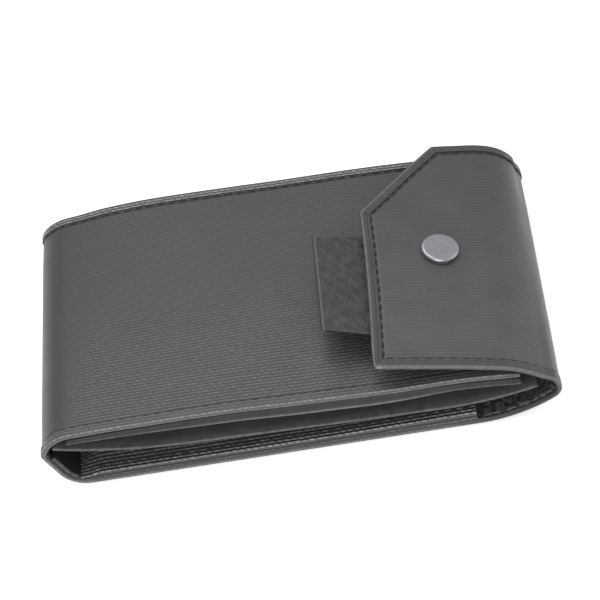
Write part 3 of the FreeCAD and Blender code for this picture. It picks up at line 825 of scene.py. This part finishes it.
def thread_material():
    """Black sewing thread: twisted plies with a little fuzz."""
    shade = Shader("black_thread")
    twist = shade.math("ADD", shade.times(shade.along, 9.0), shade.times(shade.across, 7.0))
    ply = shade.ramp(shade.math("SINE", twist), -1.0, 1.0)
    fuzz = shade.noise(0.12, 2.0)
    colour = shade.mix(ply, (0.006, 0.006, 0.007), (0.028, 0.028, 0.03))
    normal = shade.bump(fuzz, 0.03, 0.5)
    normal = shade.bump(ply, 0.08, 1.0, normal)
    return shade.finish(colour, shade.vary(fuzz, 0.55, 0.75), normal)


def felted_tape():
    """Dark woven tape with a raised, mottled face."""
    shade = Shader("woven_tape")
    loops = shade.add("TexVoronoi", {"Vector": shade.place, "Scale": 0.9}, feature="F1")
    fibre = shade.noise(0.4, 4.0, 0.7)
    clumps = shade.noise(1.5, 3.0)
    colour = shade.mix(shade.ramp(clumps, 0.4, 0.62), (0.008, 0.008, 0.009), (0.07, 0.07, 0.075))
    colour = shade.scale_colour(colour, shade.vary(fibre, 0.5, 1.35))
    normal = shade.bump(fibre, 0.25, 0.8)
    normal = shade.bump(loops, 0.3, 0.7, normal)
    return shade.finish(colour, shade.vary(fibre, 0.7, 0.95), normal)


def leather():
    """Dark pebbled leather: a painted highlight along its free end, painted shadow at its very
    end.
    """
    shade = Shader("tab_leather")
    cells = {"Vector": shade.place, "Scale": 1.1, "Smoothness": 0.4}
    pebbles = shade.add("TexVoronoi", cells, feature="SMOOTH_F1")
    creases = shade.noise(1.7, 4.0, 0.6)
    patches = shade.ramp(shade.noise(3.4, 2.0), 0.35, 0.68)
    colour = shade.mix(patches, (0.016, 0.016, 0.017), (0.032, 0.032, 0.033))
    colour = shade.scale_colour(colour, shade.ramp(creases, 0.35, 0.65, 0.8, 1.16))
    patchy = shade.ramp(creases, 0.2, 0.6, 0.25, 0.5)
    # painted highlight along the tab's free end
    highlight_share = shade.times(shade.ramp(shade.along, 1.3, 0.8), patchy)
    colour = shade.mix(highlight_share, colour, (0.13, 0.13, 0.132))
    # painted shadow at the very end of the tab
    colour = shade.scale_colour(colour, shade.ramp(shade.along, 0.65, 0.35, 1.0, 0.25))
    normal = shade.bump(pebbles, -0.12, 0.6)
    normal = shade.bump(creases, 0.3, 0.7, normal)
    return shade.finish(colour, shade.vary(creases, 0.38, 0.6), normal)


def moulded_board():
    """Black polyethylene board with a fine matt grain."""
    shade = Shader("board")
    grain = shade.noise(0.5, 3.0)
    colour = shade.mix(grain, (0.018, 0.018, 0.018), (0.035, 0.035, 0.036))
    return shade.finish(colour, shade.vary(grain, 0.5, 0.65), shade.bump(grain, 0.05))


def metal(name, dark, light, roughness, brushed):
    """Turned metal: fine marks, smudges and a painted highlight on its sharpest rims."""
    shade = Shader(name)
    place = shade.add("TexCoord", {}, output=3)
    fine = shade.add("TexNoise", {"Vector": place, "Scale": 9000.0, "Detail": 2.0})
    smudge = shade.add("TexNoise", {"Vector": place, "Scale": 420.0, "Detail": 4.0})
    # painted highlight: the sharpest rims are made lighter
    rim = shade.ramp(shade.add("NewGeometry", {}, output=7), 0.5, 0.56)
    colour = shade.mix(shade.ramp(smudge, 0.3, 0.75), dark, light)
    colour = shade.mix(rim, colour, tuple(min(1.0, 1.5 * part) for part in light))
    rough = shade.vary(fine, roughness - brushed, roughness + brushed)
    normal = shade.bump(fine, 0.004, 0.5)
    return shade.finish(colour, rough, normal, Metallic=1.0)


# --- simulation ---


SWELL_FRAMES = 20


def swell(piece, held, pressure, limit):
    """Blows a closed pad up with a cloth simulation. held(point) tells, in mm, which points
    stay; limit caps how far a point may move from its start."""
    start = positions(piece.data)
    stay = np.flatnonzero(held(start / MM))
    group = piece.vertex_groups.new(name="sewn")
    group.add(stay.tolist(), 1.0, "REPLACE")
    cloth = piece.modifiers.new("swell", "CLOTH")
    settings = {"quality": 6, "mass": 0.15, "vertex_group_mass": group.name}
    settings.update(tension_stiffness=30, compression_stiffness=30, bending_stiffness=2)
    settings.update(use_pressure=True, uniform_pressure_force=pressure)
    for setting, value in settings.items():
        setattr(cloth.settings, setting, value)
    cloth.settings.effector_weights.gravity = 0
    cloth.collision_settings.use_collision = False
    cloth.point_cache.frame_end = SWELL_FRAMES
    scene = bpy.context.scene
    for number in range(1, SWELL_FRAMES + 1):
        scene.frame_set(number)
    graph = bpy.context.evaluated_depsgraph_get()
    shift = positions(piece.evaluated_get(graph).data) - start
    piece.modifiers.remove(cloth)
    size = np.linalg.norm(shift, axis=1, keepdims=True)
    cap = limit * MM
    shift *= cap * np.tanh(size / cap) / np.maximum(size, 1e-9)
    piece.data.vertices.foreach_set("co", (start + shift).ravel())
    piece.data.update()
    scene.frame_set(1)


# --- materials in use ---

# The second colour of each tarpaulin is that of its light strokes, which are painted highlights.
outer_fabric = tarpaulin(
    "tarpaulin", (0.0265, 0.027, 0.029), (0.1, 0.101, 0.106), 0.07,
    fade=(-42, 15, 0.25), rolled=(SPINE + 8, SPINE + 24),
)
flap_fabric = tarpaulin(
    "flap_tarpaulin", (0.045, 0.0455, 0.0485), (0.09, 0.091, 0.095), 0.04,
    contrast=0.3, painted_light_slope=(1.2, 0.9),
)
edge_fabric = tarpaulin("binding", (0.036, 0.036, 0.038), (0.27, 0.27, 0.275), 0.12, marked=True)
flap_edge_fabric = tarpaulin(
    "flap_binding", (0.036, 0.036, 0.038), (0.12, 0.12, 0.123), 0.14, contrast=0.8, marked=True
)
sleeve_fabric = tarpaulin(
    "sleeve_tarpaulin", (0.01, 0.01, 0.011), (0.34, 0.34, 0.345), 0.16, fade=(-47.6, -46.2, 0.4)
)
hem_fabric = tarpaulin("hem_tarpaulin", (0.016, 0.016, 0.018), (0.5, 0.5, 0.51), 0.14)
pad_fabric = lining(
    "smooth_lining", (0.021, 0.021, 0.024), (0.029, 0.029, 0.033), 0.6, 0.02, 0.42, rim=True
)
leaf_fabric = lining(
    "leaf_lining", (0.055, 0.055, 0.059), (0.07, 0.07, 0.075), 0.6, 0.02, 0.55, edge=(49.6, 4.0)
)
cloth_fabric = lining("cloth_lining", (0.014, 0.014, 0.015), (0.024, 0.024, 0.026), 0.5, 0.06, 0.7)
spine_fabric = lining(
    "spine_lining", (0.009, 0.009, 0.011), (0.014, 0.014, 0.017), 0.6, 0.03, 0.6, edge=(50.0, 0.9)
)
black_thread = thread_material()
tape_fabric = felted_tape()
tab_leather = leather()
board_plastic = moulded_board()
cap_metal = metal("gunmetal", (0.3, 0.31, 0.33), (0.33, 0.34, 0.36), 0.34, 0.05)
snap_metal = metal("nickel", (0.4, 0.4, 0.4), (0.52, 0.52, 0.51), 0.3, 0.06)


def kit(piece, slot_name, *nodes, body=None):
    """Hides the CAD nodes that a piece stands for and parents it to its body. slot_name, the
    finish it takes, is not used.
    """
    if nodes:
        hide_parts(*nodes)
    if body:
        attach(piece, body)
    return piece


# Half the height over which a piece would bend at a joint, and how far that bend would lean
# inwards.
BENDS = {"flap": (5.0, 2.5), "cover": (3.0, 0.0)}


def bend(piece, body):
    """Bakes the piece's placement into its mesh. The span over which it would bend at the body's
    joint, between the back and that body, is worked out but not used.
    """
    reach, lean = BENDS[body]
    low, high = JOINTS[body + "_open"].copy(), JOINTS[body + "_open"].copy()
    low[2] -= reach
    high[2] += reach
    high[0] -= lean
    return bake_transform(piece)


# --- the outer strip, its binding and its thread ---

flap_rows = np.concatenate([spread(0, 0.1, 0.004), spread(0.1, 1, 0.011)[1:]])
cover_end = 1 - 8.0 / (strip.length - SPLIT)  # closer rows from here on
cover_rows = np.concatenate([spread(0, cover_end, 0.009)[:-1], spread(cover_end, 1, 0.0032)])

flap_skin = half_strip(
    "flap_skin", 0, SPLIT, flap_fabric, flap_edge_distance, flap_rows, flap_start
)
bend(kit(flap_skin, "tarpaulin", "flap_shell"), "flap")
cover_skin = half_strip(
    "cover_skin", SPLIT, strip.length, outer_fabric, cover_edge_distance, cover_rows
)
bend(kit(cover_skin, "tarpaulin", "cover_shell", "back_shell"), "cover")

FLAP_LOOKS = [
    Look(flat=0.15, fold=0.9, worn=0.35, gap=1.0),
    Look(flat=0.05, fold=0.2, worn=0.75, gap=0.4, dull=1.0),
    Look(flat=0.7, fold=0.2, worn=0.95, gap=0.4, dull=1.0, turned=True),
    Look(flat=0.3, fold=0.4, worn=0.1, dull=0.5),
]
COVER_LOOKS = [
    Look(flat=1.0, fold=0.5, worn=0.0),
    Look(flat=0.3, fold=0.5, worn=0.0),
    Look(flat=0.12, fold=0.9, worn=0.1),
]
flap_tape = binding("flap_binding_tape", FLAP_EDGE, flap_edge_fabric, FLAP_LOOKS)
bend(kit(flap_tape, "binding", "flap_binding"), "flap")
cover_tape = binding("cover_binding_tape", COVER_EDGE, edge_fabric, COVER_LOOKS)
bend(kit(cover_tape, "binding", "cover_binding", "back_binding"), "cover")

THREAD_LIFT = -0.12  # the middle of a stitch, from the fabric's outer face
INSIDE_LIFT = -SKIN - 0.45  # the same, on the fabric's inner face
flap_thread = thread_row("flap_thread", FLAP_EDGE, ROW_INSET, THREAD_LIFT)
bend(kit(flap_thread, "thread", "flap_stitching"), "flap")
flap_thread_inside = thread_row("flap_thread_inside", FLAP_EDGE, ROW_INSET - 0.9, INSIDE_LIFT)
bend(kit(flap_thread_inside, "thread"), "flap")
cover_thread = thread_row("cover_thread", COVER_EDGE, ROW_INSET, THREAD_LIFT)
bend(kit(cover_thread, "thread", "cover_stitching", "back_stitching"), "cover")

# --- what rides on the cover ---


def welt(x, across):
    """The pad's long edges are rolled, and the roll is fullest halfway along."""
    full = 0.5 * smoothstep(-76, -60, x) + 1.1 * smoothstep(-66, -20, x) * smoothstep(66, 20, x)
    return full * smoothstep(HALF - 4.6, HALF - 2.2, np.abs(across))


def sewn_pad(point):
    """The pad is sewn down along its long edges, at its ends, and lies against the board."""
    low, high = box("cover_lining")
    inside = HALF - np.abs(point[:, 1])
    row = np.abs(inside - ROW_INSET) < 0.7
    ends = (point[:, 0] < low[0] + 4) | (point[:, 0] > high[0] - 2)
    return row | ends


pad = layer(
    "padded_lining", "cover_lining", pad_fabric, 2.0, cover_sway, radius=1.3, roll=welt, wider=0.9
)
swell(pad, sewn_pad, pressure=4.0, limit=0.5)
kit(pad, "smooth_lining", "cover_lining", body="cover")

board = layer("cover_board", "cover_stiffener", board_plastic, 4.0, cover_sway)
kit(board, "board", "cover_stiffener", body="cover")


def leaf_belly(x, across):
    """The leaf hangs a little between its sides, and more along its near edge."""
    near_edge = smoothstep(-10, -HALF, across) * smoothstep(-66, -35, x)
    wave = 0.15 * np.sin(x / 16 + 0.6) * np.sin(across / 22)
    return wave - 0.4 * np.cos(across / HALF * math.pi / 2) - 1.35 * near_edge


leaf = layer("pocket_leaf", "note_pocket", leaf_fabric, 1.6, leaf_belly)
kit(leaf, "smooth_lining", "note_pocket", body="cover")
for number in (1, 2, 3):
    node = f"card_slot_{number}"
    card_slot = layer(f"card_pocket_{number}", node, cloth_fabric, 2.0, leaf_belly)
    kit(card_slot, "smooth_lining", node, body="cover")

# --- what rides on the back ---

spine_sheet = layer("spine_sheet", "spine_lining", spine_fabric, 1.5)
kit(spine_sheet, "smooth_lining", "spine_lining", body="back")


def lumps(x, across):
    """The raised face of the woven tape."""
    clumps = 0.15 * np.sin(x * 2.1 + across * 0.7) * np.sin(across * 1.7)
    return clumps + 0.1 * np.sin(across * 3.1 + x)


woven = layer("fold_webbing", "fold_tape", tape_fabric, 0.7, lumps)
kit(woven, "woven_tape", "fold_tape", body="back")

back_cloth = flat_layer("back_cloth", "back_lining", cloth_fabric, 3.0)
kit(back_cloth, "cloth_lining", "back_lining", body="back")

SLEEVE_LOW, SLEEVE_HIGH = box("passport_sleeve")
HEM_LOW, HEM_HIGH = box("sleeve_hem")
SLEEVE_TAIL = 4.0  # the sleeve's closed end runs on this far, under the spine's lining
SLEEVE_LOW[0] -= SLEEVE_TAIL
HEM_LOW[0] -= SLEEVE_TAIL
PRESSED = 9.0  # the sleeve is pressed down to the back over this length at its closed end
PRESSED_X = [-75, -71, -67, 10, 45, 57]
PRESSED_SHARE = [0.04, 0.12, 0.45, 0.45, 0.7, 0.78]


def pressed(x):
    """Share of the sleeve's height that is left along its long seams."""
    return np.interp(x, PRESSED_X, PRESSED_SHARE)


def sleeve_shape(x, across):
    """The panel is pressed down along its seams and at its closed end, and full between."""
    height = SLEEVE_LOW[2] - HEM_LOW[2]
    at_seam = smoothstep(36, SLEEVE_HIGH[1] - 2, np.abs(across))
    at_end = smoothstep(SLEEVE_LOW[0] + PRESSED, SLEEVE_LOW[0], x)
    down = np.maximum(at_seam * (1 - pressed(x)), at_end * 0.9)
    return 0.6 * (1 - at_seam) * (1 - at_end) - down * height


sleeve = flat_layer(
    "sleeve_panel", "passport_sleeve", sleeve_fabric, 1.5, sleeve_shape, SLEEVE_TAIL
)
kit(sleeve, "tarpaulin", "passport_sleeve", body="back")


def hem_section():
    """The hem's section as (inset, level): two soft rolls, one on the other."""
    depth = 0.7  # of the groove between the rolls
    section = []
    for turn in np.linspace(-0.5, 0.5, 17):
        bulge = math.sqrt(abs(math.sin(turn * 2 * math.pi)))
        section.append((depth * (1 - bulge), 0.5 + turn))
    return np.array(section + [(TAPE_WIDTH, 1.0), (TAPE_WIDTH, 0.0)])


def hem_rings(section, side):
    """The rings of the hem along one side of the wallet, where it joins sleeve and back."""
    x = spread(HEM_LOW[0], HEM_HIGH[0], 0.8)[:, None]
    height = (HEM_HIGH[2] - HEM_LOW[2]) * pressed(x)
    return joined(x, side * (HEM_HIGH[1] - section[:, 0]), HEM_LOW[2] + section[:, 1] * height)


section = hem_section()
hem_sides = [hem_rings(section, side) for side in (-1, 1)]
hem_cloth = [joined(side[:, :1, 0], lengths_round(section)) for side in hem_sides]
hem = tube("sleeve_seam", zip(hem_sides, hem_cloth), hem_fabric, sharp=50)
kit(hem, "binding", "sleeve_hem", body="back")


def on_sleeve(x, across, lift):
    return joined(x, across, SLEEVE_HIGH[2] + sleeve_shape(x, across) + lift)


def sleeve_thread(name, side, *nodes):
    """The sleeve's thread row along one side of the wallet."""
    low, high = box("sleeve_stitching")
    rows = np.abs(positions(frame["nodes"]["sleeve_stitching"].data)[:, 1]) / MM
    across = side * (rows.min() + rows.max()) / 2
    ends = [(low[0], across), (high[0], across)]
    row = thread_row(name, ends if side > 0 else ends[::-1], 0.0, 0.02, on_sleeve)
    kit(row, "thread", *nodes, body="back")


sleeve_thread("sleeve_thread", -1, "sleeve_stitching")
sleeve_thread("sleeve_thread_far", 1)

# --- what rides on the flap ---

LINING_SLANT = 0.42  # the lining's cut corner, moved along per mm of inset, to clear the binding


def flap_inside():
    """The cloth that lines the flap, inside its binding."""
    inset = TAPE_WIDTH + AIR
    across = spread(-HALF + inset, HALF - inset, 2.0, 0.3, 0.9)
    end = strip.where_x(box("flap_lining")[1][0], 0, FOLD)
    begin = inset + flap_start(across + LINING_SLANT * inset)
    along = begin + spread(0, 1, 0.02)[:, None] * (end - begin)
    across = np.broadcast_to(across, along.shape)
    top = -SKIN - AIR
    low = top - thickness("flap_lining")
    outer, inner = on_strip(along, across, top), on_strip(along, across, low)
    return sheet("flap_cloth", outer, inner, joined(along, across), cloth_fabric)


kit(flap_inside(), "cloth_lining", "flap_lining", body="flap")

TAB_OUT = 2.1  # the tab is skewed: its near corner lies this much further back at its free end
TAB_IN = 1.0  # and this much nearer where it goes under the flap


def tab_shape(x, across):
    """The tab follows the flap's twist, sags at its near corner and is a little lumpy."""
    sag = -0.35 * smoothstep(FREE_X, 12, x) * smoothstep(-20, -33, across)
    lumpy = 0.08 * np.sin(x * 1.3 + across * 0.4) * np.sin(across * 0.9)
    return flap_sway(x, across) + sag + lumpy


def skew(piece):
    low, high = box("pull_tab")
    for vert in piece.data.vertices:
        share = min((vert.co.x / MM - low[0]) / (FREE_X - low[0]), 1.3)
        nearness = (high[1] - vert.co.y / MM) / (high[1] - low[1])
        vert.co.y += (TAB_OUT - (TAB_OUT + TAB_IN) * share) * nearness * MM


tab = layer("leather_tab", "pull_tab", tab_leather, 0.7, tab_shape, radius=0.7)
skew(tab)
kit(tab, "tab_leather", "pull_tab", body="flap")

for node in ("snap_cap", "snap_socket", "snap_spring", "snap_stud", "snap_post"):
    hardware = frame["nodes"][node].data
    hardware.materials.clear()
    hardware.materials.append(cap_metal if node == "snap_cap" else snap_metal)
    hardware.shade_smooth()
    hardware.set_sharp_from_angle(angle=math.radians(35))

# --- floor, light and camera ---


def floor():
    mesh = bpy.data.meshes.new("floor")
    side = 1.5  # half its width, in metres
    corners = [(-side, -side, 0), (side, -side, 0), (side, side, 0), (-side, side, 0)]
    mesh.from_pydata(corners, [], [(0, 1, 2, 3)])
    glow = {"Emission_Color": (1, 1, 1, 1), "Emission_Strength": 0.4}
    mesh.materials.append(Shader("pale_floor").finish((0.92, 0.92, 0.92, 1), 0.9, **glow))
    ground = new_object("floor", mesh)
    ground.location.z = cad_box[0].z - 0.2 * MM


def soft_box(name, spot, size, power):
    """A square lamp that faces the wallet."""
    lamp = bpy.data.lights.new(name, "AREA")
    lamp.shape = "SQUARE"
    lamp.size = size
    lamp.energy = power
    holder = new_object(name, lamp)
    holder.location = spot
    holder.rotation_mode = "QUATERNION"
    holder.rotation_quaternion = (-Vector(spot)).to_track_quat("-Z", "Y")


def light():
    world = bpy.data.worlds.new("studio")
    world.use_nodes = True
    sky = world.node_tree.nodes["Background"].inputs
    sky["Color"].default_value = (1, 1, 1, 1)
    sky["Strength"].default_value = 0.7
    bpy.context.scene.world = world
    soft_box("top_light", (-0.15, 0.3, 0.8), 0.75, 3.3)
    soft_box("side_light", (0.7, 0.1, 0.45), 0.35, 0.6)
    soft_box("front_light", (-0.05, -0.7, 0.45), 0.6, 3.4)
    soft_box("rim_light", (-0.7, 0.25, 0.12), 0.25, 0.15)
    bpy.context.scene.view_settings.view_transform = "Standard"


VIEW_AZIMUTH = math.radians(5.537)
VIEW_ELEVATION = math.radians(46.645)
VIEW_ROLL = math.radians(13.011)
VIEW_DISTANCE = 794.756
VIEW_SHIFT = (-1.232, -12.456)  # of the picture's middle from the wallet's origin
VIEW_LENS = 141.22


def camera():
    turns = (VIEW_AZIMUTH, "Z"), (math.pi / 2 - VIEW_ELEVATION, "X"), (-VIEW_ROLL, "Z")
    around, tilt, roll = (Matrix.Rotation(angle, 4, axis) for angle, axis in turns)
    away = Vector((-VIEW_SHIFT[0], -VIEW_SHIFT[1], VIEW_DISTANCE)) * MM
    eye = bpy.data.cameras.new("camera")
    eye.lens = VIEW_LENS
    eye.sensor_width = 36.0
    eye.clip_start = 0.01
    holder = new_object("camera", eye)
    holder.matrix_world = around @ tilt @ roll @ Matrix.Translation(away)
    bpy.context.scene.camera = holder


floor()
light()
camera()
